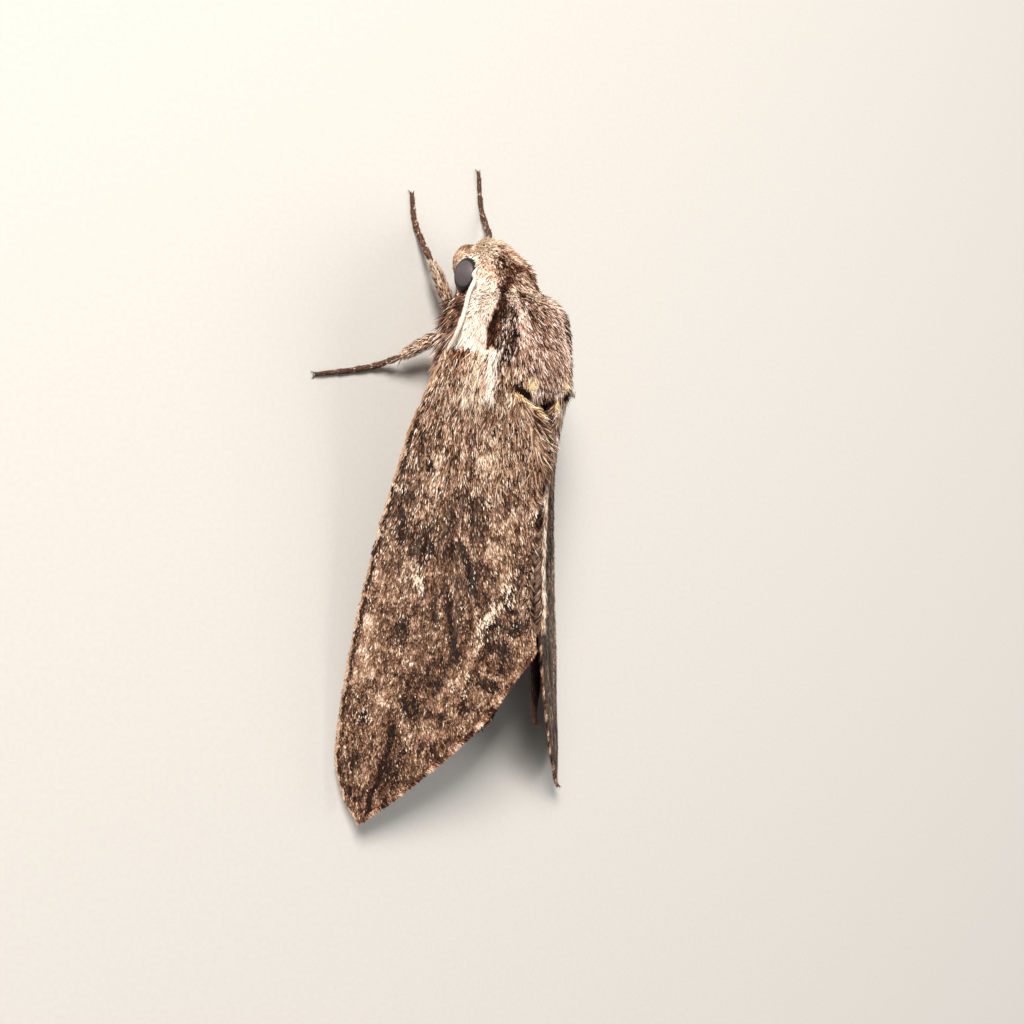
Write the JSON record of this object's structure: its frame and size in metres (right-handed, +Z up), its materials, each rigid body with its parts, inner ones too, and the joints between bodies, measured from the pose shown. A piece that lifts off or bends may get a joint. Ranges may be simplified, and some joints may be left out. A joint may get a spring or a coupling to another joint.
{
  "type": "hawk moth",
  "caption": "Grey-brown hawk moth at rest, life size: blunt furry head and thorax, narrow wings folded like a roof over the body, legs braced on a flat surface.",
  "frame": {"origin": "bottom centre of the bounding box: on the floor the moth stands on, below the middle of its length and width", "axes": "-Y is the way the moth faces, +X is its left side, +Z is up from the surface it rests on"},
  "size_m": [0.037, 0.0747, 0.0183],
  "materials": {
    "body_fur": "dense grey-brown insect fur of fine scales, matt",
    "pale_fur": "cream to off-white insect fur, matt",
    "wing_scales": "overlapping hair-like scales over a thin membrane, mottled brown, matt with a faint sheen",
    "eye": "dark compound eye, very fine facets, soft gloss",
    "leg_scales": "close brown scales with pale rings at the joints, matt"
  },
  "bodies": {
    "root": {"head": "body_fur", "collar": "body_fur", "thorax": "body_fur", "abdomen": "body_fur", "tail_tuft": "body_fur", "eye_left": "eye", "antenna_left": "pale_fur", "palp_left": "body_fur", "tegula_left": "pale_fur", "forewing_left": "wing_scales", "hindwing_left": "wing_scales", "foreleg_left_femur": "leg_scales", "foreleg_left_tibia": "leg_scales", "foreleg_left_tarsus": "leg_scales", "midleg_left_femur": "leg_scales", "midleg_left_tibia": "leg_scales", "midleg_left_tarsus": "leg_scales", "hindleg_left_femur": "leg_scales", "hindleg_left_tibia": "leg_scales", "hindleg_left_tarsus": "leg_scales", "eye_right": "eye", "antenna_right": "pale_fur", "palp_right": "body_fur", "tegula_right": "pale_fur", "forewing_right": "wing_scales", "hindwing_right": "wing_scales", "foreleg_right_femur": "leg_scales", "foreleg_right_tibia": "leg_scales", "foreleg_right_tarsus": "leg_scales", "midleg_right_femur": "leg_scales", "midleg_right_tibia": "leg_scales", "midleg_right_tarsus": "leg_scales", "hindleg_right_femur": "leg_scales", "hindleg_right_tibia": "leg_scales", "hindleg_right_tarsus": "leg_scales"}
  },
  "joints": []
}
